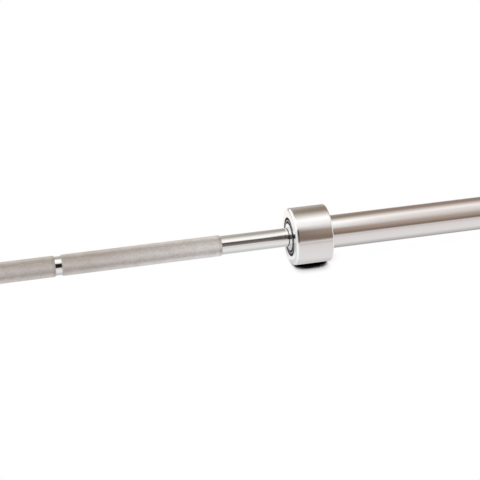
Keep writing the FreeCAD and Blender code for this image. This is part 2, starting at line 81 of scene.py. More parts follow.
collar_face = span("right_collar")[0][0]
collar_back = span("right_collar")[1][0]
collar_radius = span("right_collar")[1][2]
sleeve_start = span("right_sleeve_tube")[0][0]
sleeve_finish = span("right_sleeve_tube")[1][0]
sleeve_radius = span("right_sleeve_tube")[1][2]
grip_radius = span("shaft")[1][2]
shaft_finish = span("shaft")[1][0]
shaft_radius = 14.0
print("collar", collar_face, "to", collar_back, "sleeve end", sleeve_finish, "grip radius", grip_radius)

# %% [markdown]
# ## Camera
# The photograph looks down along the bar from the side, through a long lens. The angles, the distance and
# the lens were fitted to the edges of the shaft, the collar and the sleeve, so the camera is set from
# numbers and not moved by hand.

# %% Set the camera
turn_left = np.radians(-13.513)
look_down = np.radians(31.277)
camera_distance = 2.32254
picture_pixels = 480
focal_pixels = 1567.24
aim_along = 0.579579
aim_rise = 0.004479
furthest_seen = 200
level = np.cos(look_down)
back = Vector((np.sin(turn_left) * level, -np.cos(turn_left) * level, np.sin(look_down)))
rightward = Vector((np.cos(turn_left), np.sin(turn_left), 0))
aim = Vector((aim_along, 0, 0)) + aim_rise * back.cross(rightward)

camera_data = bpy.data.cameras.new("camera")
camera = bpy.data.objects.new("camera", camera_data)
bpy.context.scene.collection.objects.link(camera)
camera.location = aim + camera_distance * back
camera.rotation_mode = "QUATERNION"
camera.rotation_quaternion = (-back).to_track_quat("-Z", "Y")
camera_data.lens = focal_pixels / picture_pixels * camera_data.sensor_width
camera_data.clip_end = furthest_seen
bpy.context.scene.camera = camera
print("lens", round(camera_data.lens, 2), "mm")

# %% [markdown]
# ## Broken corners
# A turner takes the sharp edge off every corner with a file, because a bare edge cuts the hand and
# catches no light. A Bevel modifier would do it for the whole piece at once, but here each corner has a
# break of its own, so the outline is rounded before it is turned.

# %% Break the corners of an outline
hold_share = 0.04
hold_least = 0.02
same_point = 1e-6


def soften(outline, breaks, steps=6):
    """Swap each corner for the arc that touches both its sides. The arc is a rational quadratic curve: its
    ends lie one break away from the corner, the corner pulls it, and the weight is the sine of half the
    corner's angle. One more point just beyond each end holds the shading of the straight sides flat."""
    corner = np.asarray(outline, float)
    cut = np.broadcast_to(np.asarray(breaks, float), len(corner))[:, None]
    to_last = np.roll(corner, 1, 0) - corner
    to_next = np.roll(corner, -1, 0) - corner
    to_last /= np.linalg.norm(to_last, axis=1, keepdims=True)
    to_next /= np.linalg.norm(to_next, axis=1, keepdims=True)
    weight = np.sqrt((1 - (to_last * to_next).sum(1)) / 2)[:, None, None]
    s = np.linspace(0, 1, steps + 1)[None, :, None]
    first, pull, last = (1 - s) ** 2, 2 * s * (1 - s) * weight, s ** 2
    start, end = corner + cut * to_last, corner + cut * to_next
    arc = first * start[:, None] + pull * corner[:, None] + last * end[:, None]
    arc /= first + pull + last
    hold = np.where(cut > 0, cut + np.maximum(hold_share * cut, hold_least), 0)
    before, after = corner + hold * to_last, corner + hold * to_next
    arc = np.concatenate([before[:, None], arc, after[:, None]], 1).reshape(-1, 2)
    apart = np.linalg.norm(arc - np.roll(arc, 1, 0), axis=1) > same_point
    return arc[apart]


print("a broken square has", len(soften([(0, 0), (1, 0), (1, 1), (0, 1)], 0.1)), "points for 4 corners")

# %% [markdown]
# ## A lathe in numpy
# Nearly every piece here was turned, so one function does most of the work: it carries an outline round
# the bar's axis. A Screw modifier would do the same, but with arrays the number of steps, the seam and
# the poles are in our own hands.

# %% Build the lathe


def lathe(outline, turns=192):
    """Carry an outline of (x, r) pairs round the bar: point i, j is (x_i, r_i cos t_j, r_i sin t_j), with t_j
    evenly spread over one turn. A closed outline runs against the clock round its metal. One that starts and
    ends on the axis gets a single point at each pole."""
    outline = np.asarray(outline, float)
    on_axis = outline[0, 1] == 0 and outline[-1, 1] == 0
    rings = outline[1:-1] if on_axis else outline
    count = len(rings)
    t = np.arange(turns) * 2 * np.pi / turns
    x = np.repeat(rings[:, :1], turns, 1)
    points = np.stack([x, rings[:, 1:] * np.cos(t), rings[:, 1:] * np.sin(t)], -1).reshape(-1, 3)
    here = np.arange(count * turns).reshape(count, turns)
    ahead = np.roll(here, -1, 0)
    if on_axis:
        here, ahead = here[:-1], ahead[:-1]
    faces = np.stack([here, ahead, np.roll(ahead, -1, 1), np.roll(here, -1, 1)], -1).reshape(-1, 4).tolist()
    if on_axis:
        first = np.arange(turns)
        last = first + (count - 1) * turns
        poles = [[outline[0, 0], 0, 0], [outline[-1, 0], 0, 0]]
        points = np.vstack([points, poles])
        near, far = len(points) - 2, len(points) - 1
        faces += np.stack([np.full(turns, near), first, np.roll(first, -1)], -1).tolist()
        faces += np.stack([last, np.full(turns, far), np.roll(last, -1)], -1).tolist()
    return points, faces


print("a ring with a square section has", len(lathe([(0, 1), (1, 1), (1, 2), (0, 2)])[1]), "faces")

# %% [markdown]
# ## From arrays to a piece
# A piece is a mesh with its place in its vertices, a finish, the CAD body it moves with, the material
# slot it belongs to and the solid it stands for. The left end of the bar is the right end turned half way
# round, which keeps every face pointing outwards, where a mirror would turn them in.

# %% Make a piece
pieces = {}


def make_piece(name, points, faces, body, slot, stands_for=None, left=False, crease=30):
    """Put points, in millimetres, and faces into a mesh. For the left end x and y change sign. Edges that
    bend more than the crease, in degrees, stay sharp; a crease of 0 leaves every face flat."""
    place = np.array([-1, -1, 1]) if left else np.array([1, 1, 1])
    mesh = bpy.data.meshes.new(name)
    mesh.from_pydata((points * place * MM).tolist(), [], faces)
    mesh.polygons.foreach_set("use_smooth", np.full(len(mesh.polygons), crease > 0))
    if crease > 0:
        mesh.set_sharp_from_angle(angle=np.radians(crease))
    mesh.update()
    piece = bpy.data.objects.new(name, mesh)
    bpy.context.scene.collection.objects.link(piece)
    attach(piece, body)
    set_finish(piece, slot)
    if stands_for:
        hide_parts(stands_for)
    pieces[name] = piece
    return piece


# %% [markdown]
# ## Shaft
# The shaft is a 28 mm bar, ground and polished, with a thinner journal inside each sleeve. It is turned
# here at its plain diameter all along. The knurl is laid over it in the next step, as its own pieces, so
# that each mesh stays small enough to handle.

# %% Turn the shaft
journal_radius = 12.5
journal_start = span("right_inner_thrust_washer")[0][0]
ring_groove = span("right_shaft_circlip")[0][0]
ring_groove_width = 1.6
ring_groove_radius = journal_radius - 0.6
end_chamfer = 1.5
centre_hole_radius = 3.0
centre_hole_depth = 5.2
right_half = np.array([
    (journal_start, shaft_radius),
    (journal_start, journal_radius),
    (ring_groove, journal_radius),
    (ring_groove, ring_groove_radius),
    (ring_groove + ring_groove_width, ring_groove_radius),
    (ring_groove + ring_groove_width, journal_radius),
    (shaft_finish - end_chamfer, journal_radius),
    (shaft_finish, journal_radius - end_chamfer),
    (shaft_finish, centre_hole_radius),
    (shaft_finish - centre_hole_depth, 0.0),
])
left_half = right_half[::-1] * (-1, 1)
shaft_outline = np.vstack([left_half, right_half])[::-1]
make_piece("shaft_core", *lathe(shaft_outline), "shaft", "shaft_steel", "shaft")
print("shaft", len(pieces["shaft_core"].data.polygons), "faces")

# %% [markdown]
# ## Knurl
# Two wheels roll crossing spirals into the bar and leave rows of small diamonds with flat tops. A bump
# map would be lighter, but the outline of the grip and the glitter of the tops come from real facets, so
# the diamonds are modelled. On the unrolled bar the spirals cross on a checkerboard: each diamond sits in
# the middle of four crossings, and has four flanks and a flat top.

# %% Roll the diamonds
diamonds_round = 70
diamond_half_length = 1.2
diamond_depth = 0.27
flat_share = 0.34
end_cone = 1.2
run_out = 5.5
run_out_fall = 0.45
buried = 0.1
deepest_wear = 0.06
wheel_wear = np.random.default_rng(28)


def knurl(start, finish):
    """Crossing k, j lies at x = start + k h and at the angle (2 j + odd(k)) pi / n. Diamond k, j has its
    middle half a step further round, and its top corners lie a share of the way from there to its four
    crossings. Crossings lie at the depth of the grooves, tops at the grip's radius less their wear, both
    under a cone at each end."""
    rows = int(round((finish - start) / diamond_half_length))
    h = (finish - start) / rows
    n = diamonds_round
    step = np.pi / n

    def under_cone(x, r):
        """The lower of r and the end cones, with r easing down by a square where the wheels lift off."""
        inside = np.minimum(x - start, finish - x)
        ease = run_out_fall * np.clip(1 - inside / run_out, 0, 1) ** 2
        cone = shaft_radius + (grip_radius - shaft_radius) * np.clip(inside / end_cone, 0, 1)
        return np.minimum(r - ease, cone)

    def round_bar(x, t, r):
        """Points at the place x along the bar, the angle t round it and the distance r from its axis."""
        return np.stack([x, r * np.cos(t), r * np.sin(t)], -1).reshape(-1, 3)

    def crossing(k, j):
        """The number of crossing k, j in the list of points. j runs on past a full turn."""
        return (k * n + j % n).ravel()

    k = np.arange(rows + 1)[:, None]
    j = np.arange(n)[None, :]
    x = start + k * h + 0.0 * j
    groove = round_bar(x, (2 * j + k % 2) * step, under_cone(x, grip_radius - diamond_depth))

    k = np.arange(1, rows)[:, None]
    odd = k % 2
    middle_x, middle_t = start + k * h + 0.0 * j, (2 * j + 1 - odd) * step
    worn = wheel_wear.uniform(0.0, deepest_wear, middle_x.shape)
    tops = []
    for across, along in ((-1, 0), (0, -1), (1, 0), (0, 1)):
        x = middle_x + along * flat_share * h
        tops.append(round_bar(x, middle_t + across * flat_share * step, under_cone(x, grip_radius - worn)))

    low = [
        crossing(k, j - odd),
        crossing(k - 1, j + 0 * k),
        crossing(k, j + 1 - odd),
        crossing(k + 1, j + 0 * k),
    ]
    many = middle_x.size
    high = [len(groove) + i * many + np.arange(many) for i in range(4)]
    flanks = [np.stack([low[i], low[(i + 1) % 4], high[(i + 1) % 4], high[i]], -1) for i in range(4)]
    quads = flanks + [np.stack(high, -1)]

    j = np.arange(n)
    end = rows % 2
    first, last = crossing(0, j), crossing(rows, j)
    closing = [
        np.stack([first, np.roll(first, -1), crossing(1, j)], -1),
        np.stack([crossing(rows, j - end), crossing(rows - 1, j), crossing(rows, j + 1 - end)], -1),
    ]
    inner_first = len(groove) + 4 * many + j
    inner_last = inner_first + n
    hidden = np.full(n, shaft_radius - buried)
    inside = [
        round_bar(np.full(n, start), 2 * j * step, hidden),
        round_bar(np.full(n, finish), (2 * j + end) * step, hidden),
    ]
    walls = [
        (first, inner_first, np.roll(inner_first, -1), np.roll(first, -1)),
        (last, np.roll(last, -1), np.roll(inner_last, -1), inner_last),
        (inner_first, inner_last, np.roll(inner_last, -1), np.roll(inner_first, -1)),
    ]
    quads += [np.stack(wall, -1) for wall in walls]
    points = np.vstack([groove, *tops, *inside])
    height = np.zeros(len(points), np.float32)
    height[len(groove):len(groove) + 4 * many] = 1
    outer_end = max(abs(start), abs(finish))
    rolled = np.clip((outer_end - np.abs(points[:, 0])) / run_out, 0, 1).astype(np.float32)
    faces = np.vstack(quads).tolist() + np.vstack(closing).tolist()
    return points, faces, height, rolled


print("diamonds round the bar:", diamonds_round)

# %% [markdown]
# ## Where the knurl lies
# Hands hold the bar on two long zones, each broken by a smooth ring that shows where they go, and the
# short zone in the middle keeps it from slipping down the back. Each zone is one piece. Two numbers are
# stored on its points for the finish: how high a point lies, and how far it is from the outer end, where
# the wheels lifted off.

# %% Lay the knurl on the shaft
middle_half = 60.0
ring_middle = 308.5
ring_half_width = 4.75
grip_start = 210.0
plain_length = 105.0
grip_finish = collar_face - plain_length
knurled_zones = {
    "knurl_middle": (-middle_half, middle_half),
    "knurl_right_inner": (grip_start, ring_middle - ring_half_width),
    "knurl_right_outer": (ring_middle + ring_half_width, grip_finish),
    "knurl_left_inner": (ring_half_width - ring_middle, -grip_start),
    "knurl_left_outer": (-grip_finish, -ring_middle - ring_half_width),
}
for name, (start, finish) in knurled_zones.items():
    points, faces, height, rolled = knurl(start, finish)
    grip = make_piece(name, points, faces, "shaft", "shaft_steel", crease=0)
    grip.data.attributes.new("crest", "FLOAT", "POINT").data.foreach_set("value", height)
    grip.data.attributes.new("rolled", "FLOAT", "POINT").data.foreach_set("value", rolled)
    print(name, len(faces), "faces")

# %% [markdown]
# ## Sleeves
# Each sleeve is a thick collar with the 50 mm tube pressed into it. Both were turned, so both come off
# the lathe function, with the bearing seat, the circlip groove and the relief beside the collar cut into
# the outline. A row of an outline is a place along the bar, a radius and how far that corner is broken.

# %% Turn the collars and the tubes
seat_radius = 29.0
mouth_chamfer = 0.3
mouth_break = 0.1
circlip_play = 0.12
circlip_groove = span("right_bearing_circlip")[0][0] - circlip_play
circlip_back = span("right_bearing_circlip")[1][0]
circlip_groove_radius = seat_radius + 1.5
seat_back = span("right_bearing_outer_race")[1][0]
spigot_radius = 23.5
spigot_cone = 1.5
face_rounding = 5.0
back_rounding = 2.2
edge_break = 0.15
collar_outline = [
    (collar_face, collar_radius, face_rounding),
    (collar_face, seat_radius + mouth_chamfer, mouth_break),
    (collar_face + mouth_chamfer, seat_radius, mouth_break),
    (circlip_groove, seat_radius, 0),
    (circlip_groove, circlip_groove_radius, 0),
    (circlip_back, circlip_groove_radius, 0),
    (circlip_back, seat_radius, 0),
    (seat_back, seat_radius, 0),
    (seat_back, spigot_radius, 0),
    (collar_back - spigot_cone, spigot_radius, 0),
    (collar_back, sleeve_radius, edge_break),
    (collar_back, collar_radius, back_rounding),
]

tube_bore = 19.0
cap_ledge = span("right_end_cap")[0][0]
cap_seat_radius = 20.0
cap_groove = span("right_end_cap_circlip")[0][0]
cap_groove_width = 1.6
cap_groove_radius = cap_seat_radius + 1.0
tube_chamfer = 1.5
relief_depth = 0.4
relief_finish = collar_back + 1.0
tube_outline = [
    (sleeve_start, tube_bore, 0),
    (cap_ledge, tube_bore, 0),
    (cap_ledge, cap_seat_radius, 0),
    (cap_groove, cap_seat_radius, 0),
    (cap_groove, cap_groove_radius, 0),
    (cap_groove + cap_groove_width, cap_groove_radius, 0),
    (cap_groove + cap_groove_width, cap_seat_radius, 0),
    (sleeve_finish, cap_seat_radius, 0.2),
    (sleeve_finish, sleeve_radius - tube_chamfer, 0.3),
    (sleeve_finish - tube_chamfer, sleeve_radius, 0.4),
    (relief_finish, sleeve_radius, edge_break),
    (relief_finish, sleeve_radius - relief_depth, 0),
    (collar_back - relief_depth, sleeve_radius - relief_depth, 0),
    (collar_back - spigot_cone, spigot_radius, 0),
    (sleeve_start, spigot_radius, 0),
]


def turned(rows):
    """Rows of x, r and break, with the corners rounded by soften and the outline carried round by lathe."""
    rows = np.array(rows)
    return lathe(soften(rows[:, :2], rows[:, 2]), turns=256)


for end in ("right", "left"):
    for part, rows in (("collar", collar_outline), ("sleeve_tube", tube_outline)):
        points, faces = turned(rows)
        node = f"{end}_{part}"
        make_piece(f"{node}_turned", points, faces, f"{end}_sleeve", "satin_steel", node, end == "left")
print("turned pieces:", sorted(name for name in pieces if "turned" in name))

# %% [markdown]
# ## Inner races
# The inner race of the ball bearing is a hardened ring that sits on the shaft and shows in the collar's
# face. It is ground all over, and its front edge meets the shaft almost sharp, so that no dark line parts
# the two. The groove for the balls is an arc, worked out from the box of the balls.

# %% Grind the inner races
race_low, race_high = span("right_bearing_inner_race")
ball_low, ball_high = span("right_bearing_balls")
ball_radius = (ball_high[0] - ball_low[0]) / 2
ball_middle = (ball_high[0] + ball_low[0]) / 2
ball_circle = ball_high[1] - ball_radius
race_front, race_back, race_radius = race_low[0], race_high[0], race_high[2]
race_break = 0.15
front_bore_break = 0.05
back_bore_break = 0.6
raceway_play = 0.06
raceway_points = 17
raceway_radius = ball_radius + raceway_play
raceway_half = np.sqrt(raceway_radius ** 2 - (ball_circle - race_radius) ** 2)
x = np.linspace(raceway_half, -raceway_half, raceway_points)
raceway = np.stack([ball_middle + x, ball_circle - np.sqrt(raceway_radius ** 2 - x ** 2), 0 * x], -1)
race_outline = np.vstack([
    (race_front, race_radius, race_break),
    (race_front, shaft_radius, front_bore_break),
    (race_back, shaft_radius, back_bore_break),
    (race_back, race_radius, race_break),
    raceway,
])
for end in ("right", "left"):
    points, faces = turned(race_outline)
    node = f"{end}_bearing_inner_race"
    make_piece(f"{node}_ground", points, faces, "shaft", "bearing_steel", node, end == "left")
print("raceway radius", round(raceway_radius, 2), "mm")

# %% [markdown]
# ## Finishes
# A finish is a material whose nodes describe how the metal was worked. The nodes could be laid out by
# hand in the shader editor, but small helpers make the recipe readable: one opens a material, one adds a
# node and joins its inputs, and the rest are steps that come back in every finish.

# %% Open a finish and add nodes
finishes = {}
WHITE = (1.0, 1.0, 1.0, 1.0)


def open_finish(name, **sockets):
    """A new material with one shader, whose sockets are set to plain values."""
    material = bpy.data.materials.new(name)
    material.use_nodes = True
    shader = material.node_tree.nodes["Principled BSDF"]
    for socket, number in sockets.items():
        shader.inputs[socket.replace("_", " ")].default_value = number
    finishes[name] = material
    return material.node_tree, shader


def put(tree, source, socket):
    """Join a socket to the source, or set it to the number or colour that the source is."""
    if isinstance(source, bpy.types.NodeSocket):
        tree.links.new(source, socket)
    elif source is not None:
        socket.default_value = source


def add(tree, kind, *sources, **settings):
    """A node of that kind, with its inputs in order joined to sockets or set to numbers."""
    node = tree.nodes.new("ShaderNode" + kind)
    for key, setting in settings.items():
        setattr(node, key, setting)
    for socket, source in zip(node.inputs, sources):
        put(tree, source, socket)
    return node


def work_out(tree, operation, *sources):
    """The result of one step of arithmetic on sockets or numbers."""
    return add(tree, "Math", *sources, operation=operation).outputs[0]


def between(tree, source, low, high, start=0.3, finish=0.7):
    """A number that runs from low to high as the source runs from start to finish."""
    return add(tree, "MapRange", source, start, finish, low, high).outputs["Result"]


def shade(tree, source, *stops):
    """Colours along a ramp, each given as a place and a colour."""
    ramp = add(tree, "ValToRGB", source)
    elements = ramp.color_ramp.elements
    elements.remove(elements[1])
    elements[0].position = stops[0][0]
    elements[0].color = (*stops[0][1], 1)
    for at, colour in stops[1:]:
        elements.new(at).color = (*colour, 1)
    return ramp.outputs["Color"]


def blend(tree, share, first, second, way="MIX"):
    """The first colour where the share is 0. Where it is 1, the second, or the product of both."""
    mix = add(tree, "Mix", data_type="RGBA", blend_type=way)
    for socket, source in (("Factor", share), ("A", first), ("B", second)):
        put(tree, source, mix.inputs[socket])
    return mix.outputs["Result"]


def times(tree, colour, other):
    """The product of two colours."""
    return blend(tree, 1.0, colour, other, "MULTIPLY")


print("finishes so far:", len(finishes))

# %% [markdown]
# ## Marks of the tool
# A lathe tool and a grinding wheel leave rings: lines round a barrel and circles on a face. Noise read on
# the place along the bar and the distance from its axis gives both. The patterns read Object coordinates,
# which are metres from the bar's middle, so they stay put on the metal when a sleeve spins.

# %% Cut the tool's marks


def place_on_bar(tree):
    """Sockets for the place along the bar, the place across it and the distance from its axis, in metres."""
    apart = add(tree, "SeparateXYZ", add(tree, "TexCoord").outputs["Object"])
    flat = add(tree, "CombineXYZ", 0.0, apart.outputs["Y"], apart.outputs["Z"])
    radius = add(tree, "VectorMath", flat.outputs[0], operation="LENGTH")
    return apart.outputs["X"], apart.outputs["Y"], radius.outputs["Value"]


def tool_marks(tree, per_metre, drift):
    """Noise on (x, r, a little of the way across), so that rings are long and not quite even."""
    along, across, radius = place_on_bar(tree)
    where = add(tree, "CombineXYZ", along, radius, work_out(tree, "MULTIPLY", across, drift))
    noise = add(tree, "TexNoise", where.outputs[0])
    noise.inputs["Scale"].default_value = per_metre
    noise.inputs["Detail"].default_value = 3.0
    return noise.outputs["Fac"]


def raise_marks(tree, shader, source, strength, depth):
    """Tilt the surface as if the source stood that deep, in metres, on it."""
    bump = add(tree, "Bump", strength, depth)
    tree.links.new(source, bump.inputs["Height"])
    tree.links.new(bump.outputs["Normal"], shader.inputs["Normal"])


print("marks are measured from the origin, and the collar's face lies at", collar_face * MM, "m")

# %% [markdown]
# ### Satin turned steel
# The sleeves are satin: fine rings from the tool stretch reflections a little along the bar and leave
# them sharp round it. Anisotropy does that, with the tangent running round the axis. The collar's face is
# given a paler colour than its barrel, a painted highlight, and painted shade blackens the mouth of the
# bearing's seat, where the circlip stands.

# %% Satin steel for the sleeves
mouth_shade_depth = 4.0
mouth_shade_fade = 1.0
mouth_shade_rim_start = 0.1
mouth_shade_rim_finish = 0.9
tree, steel = open_finish("satin turned steel", Metallic=1.0, Anisotropic=0.4, Anisotropic_Rotation=0.25)
marks = tool_marks(tree, 1400.0, 0.004)
barrel = shade(tree, marks, (0.35, (0.70, 0.69, 0.69)), (0.65, (0.73, 0.72, 0.72)))
# Painted highlight: the face gets a paler colour than the barrel, so it shows brighter than the barrel does
face = shade(tree, marks, (0.35, (0.92, 0.92, 0.92)), (0.65, (0.95, 0.95, 0.95)))
outward = add(tree, "SeparateXYZ", add(tree, "TexCoord").outputs["Normal"]).outputs["X"]
faced = between(tree, work_out(tree, "ABSOLUTE", outward), 0.0, 1.0, 0.15, 0.50)
colour = blend(tree, faced, barrel, face)
along, across, radius = place_on_bar(tree)
# Painted shade: near black colour in the mouth of the bearing's seat stands for the recess's shadow
mouth_shade_end = (collar_face + mouth_shade_depth) * MM
mouth_shade_gone = mouth_shade_end + mouth_shade_fade * MM
at_face = between(tree, work_out(tree, "ABSOLUTE", along), 1.0, 0.0, mouth_shade_end, mouth_shade_gone)
rim_start = (seat_radius + mouth_shade_rim_start) * MM
rim_finish = (seat_radius + mouth_shade_rim_finish) * MM
in_mouth = between(tree, radius, 1.0, 0.0, rim_start, rim_finish)
colour = blend(tree, work_out(tree, "MULTIPLY", at_face, in_mouth), colour, (0.02, 0.02, 0.02, 1))
tree.links.new(colour, steel.inputs["Base Color"])
tree.links.new(between(tree, marks, 0.11, 0.14), steel.inputs["Roughness"])
round_axis = add(tree, "Tangent", direction_type="RADIAL", axis="X")
tree.links.new(round_axis.outputs[0], steel.inputs["Tangent"])
raise_marks(tree, steel, marks, 0.02, 0.00003)
print("finishes so far:", len(finishes))

# %% [markdown]
# ### Ground and polished steel
# The plain shaft, the bearing rings and the rolling parts are ground, and then polished more or less. The
# shaft mirrors the room with only a trace of grinding lines. The bearing steel is paler than the shaft, a
# painted highlight that makes the inner race bright, and the outer race gets a dark grey copy of it, which
# is painted shade. One function serves all four, because only the fineness, the tone and the gloss change.

# %% Ground steel for the shaft and the bearings


def ground(name, per_metre, drift, dark, light, smooth, rough, lift):
    """A bright metal with the fine rings of a grinding wheel, which move its tone, gloss and surface."""
    tree, steel = open_finish(name, Metallic=1.0)
    marks = tool_marks(tree, per_metre, drift)
    tree.links.new(shade(tree, marks, (0.35, dark), (0.65, light)), steel.inputs["Base Color"])
    tree.links.new(between(tree, marks, smooth, rough), steel.inputs["Roughness"])
    raise_marks(tree, steel, marks, lift, 0.00002)


ground("polished shaft steel", 700.0, 0.02, (0.74, 0.735, 0.73), (0.77, 0.765, 0.76), 0.05, 0.09, 0.01)
# Painted highlight: this bearing steel is paler than steel, so the inner race shows bright; the outer race's
# copy below is dark grey painted shade
ground("ground bearing steel", 2500.0, 0.01, (0.90, 0.90, 0.90), (0.95, 0.95, 0.95), 0.16, 0.26, 0.04)
ground("shaded race steel", 2500.0, 0.01, (0.30, 0.30, 0.30), (0.38, 0.38, 0.38), 0.22, 0.32, 0.04)
ground("polished rolling steel", 900.0, 0.5, (0.80, 0.80, 0.81), (0.86, 0.86, 0.86), 0.04, 0.09, 0.01)
print("finishes so far:", len(finishes))

# %% [markdown]
# ### Knurl
# Hands keep the flat tops bright, while the grooves stay dull. The crest attribute that the knurl was
# made with says which is which, and the rolled attribute marks the strip where the wheels lifted off and
# smeared the metal. A painted dark reflection along the upper side, skin oil towards the middle of the
# bar and a fine grain finish it.

# %% Knurl finish
tree, steel = open_finish("knurled shaft steel", Metallic=1.0)


def specks(tree, per_metre):
    """Cloudy noise with that many blots to the metre, the same in every direction."""
    noise = add(tree, "TexNoise", add(tree, "TexCoord").outputs["Object"])
    noise.inputs["Scale"].default_value = per_metre
    noise.inputs["Detail"].default_value = 4.0
    return noise.outputs["Fac"]


crest = add(tree, "Attribute", attribute_name="crest").outputs["Fac"]
rolled = add(tree, "Attribute", attribute_name="rolled").outputs["Fac"]
apart = add(tree, "SeparateXYZ", add(tree, "TexCoord").outputs["Object"])
stain = specks(tree, 55.0)
grain = specks(tree, 420.0)
colour = shade(tree, crest, (0.0, (0.78, 0.77, 0.77)), (1.0, (0.995, 0.98, 0.98)))
colour = times(tree, colour, shade(tree, stain, (0.36, (0.92, 0.912, 0.90)), (0.62, (1.0, 0.99, 0.99))))
colour = times(tree, colour, shade(tree, grain, (0.35, (0.88, 0.88, 0.88)), (0.65, (1.0, 1.0, 1.0))))

# Painted dark reflection: a darker band along the top of the knurl, wandering a little with the stain noise
dark_band_start, dark_band_finish = -0.0092, 0.0068
dark_band_wander = 0.003
dark_band_place = work_out(tree, "MULTIPLY_ADD", stain, dark_band_wander, apart.outputs["Y"])
painted_dark_band = shade(
    tree,
    between(tree, dark_band_place, 0.0, 1.0, dark_band_start, dark_band_finish),
    (0.10, (1.0, 1.0, 1.0)),
    (0.35, (0.78, 0.775, 0.755)),
    (0.55, (0.80, 0.795, 0.775)),
    (0.85, (0.95, 0.945, 0.93)),
)
upper = between(tree, apart.outputs["Z"], 0.0, 1.0, 0.006, 0.010)
colour = times(tree, colour, blend(tree, upper, WHITE, painted_dark_band))

oil_start, oil_finish = 0.36, 0.51
outwards = between(tree, work_out(tree, "ABSOLUTE", apart.outputs["X"]), 0.0, 1.0, oil_start, oil_finish)
colour = times(tree, colour, shade(tree, outwards, (0.0, (0.845, 0.815, 0.79)), (1.0, (1.0, 1.0, 1.0))))
smeared = between(tree, work_out(tree, "MULTIPLY_ADD", grain, 0.5, rolled), 0.0, 1.0, 1.02, 1.22)
colour = times(tree, colour, shade(tree, smeared, (0.0, (0.88, 0.875, 0.87)), (1.0, (1.0, 1.0, 1.0))))
tree.links.new(colour, steel.inputs["Base Color"])
tree.links.new(between(tree, crest, 0.50, 0.40, 0.0, 1.0), steel.inputs["Roughness"])
print("knurl finish has", len(tree.nodes), "nodes")

# %% [markdown]
# ### Black, rubber, plastic and bronze
# The circlips are phosphated spring steel, the seals moulded rubber, the cages glass filled plastic and
# the thrust washers bronze. Most of this hides inside the sleeve, but the circlip and the seal show in
# the collar.

# %% Small part finishes


def speckled(name, per_metre, dark, light, smooth, rough, **sockets):
    """A grainy finish: noise moves the colour, the roughness and the surface a little."""
    tree, shader = open_finish(name, **sockets)
    grain = specks(tree, per_metre)
    tree.links.new(shade(tree, grain, (0.35, dark), (0.65, light)), shader.inputs["Base Color"])
    tree.links.new(between(tree, grain, smooth, rough), shader.inputs["Roughness"])
    raise_marks(tree, shader, grain, 0.15, 0.00005)


soot, faded_steel, faded_rubber = (0.006, 0.006, 0.006), (0.014, 0.014, 0.013), (0.014, 0.014, 0.014)
speckled("black spring steel", 1600.0, soot, faded_steel, 0.60, 0.75, Specular_IOR_Level=0.15)
speckled("black seal rubber", 2400.0, soot, faded_rubber, 0.65, 0.80, Specular_IOR_Level=0.15)
speckled("cage plastic", 1200.0, (0.62, 0.56, 0.43), (0.74, 0.68, 0.55), 0.45, 0.60)
speckled("turned bronze", 900.0, (0.56, 0.36, 0.17), (0.68, 0.47, 0.24), 0.24, 0.36, Metallic=1.0)
print("finishes so far:", len(finishes))

# %% [markdown]
# ## Dress the bar
# Every CAD solid comes with a material slot that names what it is made of, and every new piece was given
# the same kind of slot. A table from slot to finish therefore dresses the whole bar at once, and only the
# knurl and the outer races, darkened with painted shade, differ from their slot.

# %% Put the finishes on
slot_finish = {
    "shaft_steel": "polished shaft steel",
    "satin_steel": "satin turned steel",
    "bearing_steel": "ground bearing steel",
    "polished_steel": "polished rolling steel",
    "black_spring_steel": "black spring steel",
    "seal_rubber": "black seal rubber",
    "cage_polyamide": "cage plastic",
    "bronze": "turned bronze",
}
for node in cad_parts.values():
    node.material_slots[0].material = finishes[slot_finish[node.material_slots[0].material.name]]
for end in ("right", "left"):
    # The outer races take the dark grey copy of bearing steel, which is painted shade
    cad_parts[f"{end}_bearing_outer_race"].material_slots[0].material = finishes["shaded race steel"]
for name, piece in pieces.items():
    knurled = name in knurled_zones
    piece.data.materials.append(finishes["knurled shaft steel" if knurled else slot_finish[piece["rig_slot"]]])
print("finishes:", len(finishes), "new pieces:", len(pieces))

# %% [markdown]
# ## Light tent
# Polished metal looks like what stands round it, so the light is a tent: a half round sheet that glows
# over the bar. Area lamps would light the bar too, but a tent also decides what each strip of the metal
# mirrors. The camera doesn't see the tent, and the tent throws no shadow.

# %% Stretch the tent
tent_radius = 4.0
tent_reach = 7.0
tent_rows = 90
lowest_degrees = 2
sweep = np.radians(np.linspace(lowest_degrees, 180 - lowest_degrees, tent_rows))[:, None]
along = np.array([-tent_reach, tent_reach])[None, :]
rows = np.broadcast_arrays(along, -tent_radius * np.cos(sweep), tent_radius * np.sin(sweep))
tent_points = np.stack(rows, -1).reshape(-1, 3)
row = 2 * np.arange(tent_rows - 1)[:, None]
tent_mesh = bpy.data.meshes.new("light_tent")
tent_mesh.from_pydata(tent_points.tolist(), [], (row + np.array([0, 1, 3, 2])).tolist())
tent = bpy.data.objects.new("light_tent", tent_mesh)
bpy.context.scene.collection.objects.link(tent)
tent.visible_camera = False
tent.visible_shadow = False
print("tent", len(tent_mesh.polygons), "panels")

# %% [markdown]
# ### Bands of the tent
# Whoever lights a shiny piece hangs cloth of different tones round it. Here the cloth is a colour ramp
# that climbs over the bar: pale near the floor, dark brown on the camera's side, bright overhead and dull
# behind. The shaft, the collar and the sleeve look at different lengths of the tent, so each length has
# bands of its own. They were tuned until the reflections came near those in the photograph.

